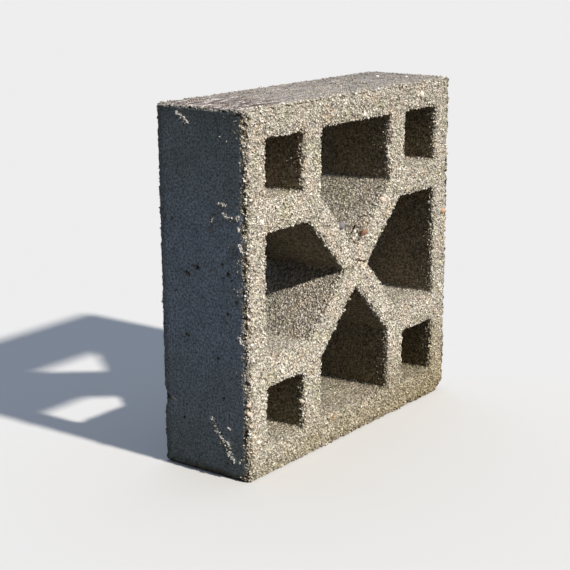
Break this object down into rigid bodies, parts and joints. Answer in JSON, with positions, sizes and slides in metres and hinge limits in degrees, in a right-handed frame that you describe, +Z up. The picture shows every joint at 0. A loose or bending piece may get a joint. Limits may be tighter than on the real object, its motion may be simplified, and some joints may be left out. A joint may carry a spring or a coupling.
{
  "type": "concrete screen block",
  "caption": "Square cast concrete screen block, pierced by square corner cells and arrow-shaped cells that leave a diagonal cross in the middle.",
  "frame": {"origin": "middle of the lower bed face, which the block stands on", "axes": "+Z up to the upper bed face, +Y from the open-grained front face to the back face, +X to the right as seen from the front"},
  "size_m": [0.2954, 0.09, 0.2953],
  "materials": {
    "concrete": "cast and stripped, open coarse grain on the front and in the cells, dense skin on the outer sides"
  },
  "bodies": {
    "root": {"concrete_block": "concrete"}
  },
  "joints": []
}
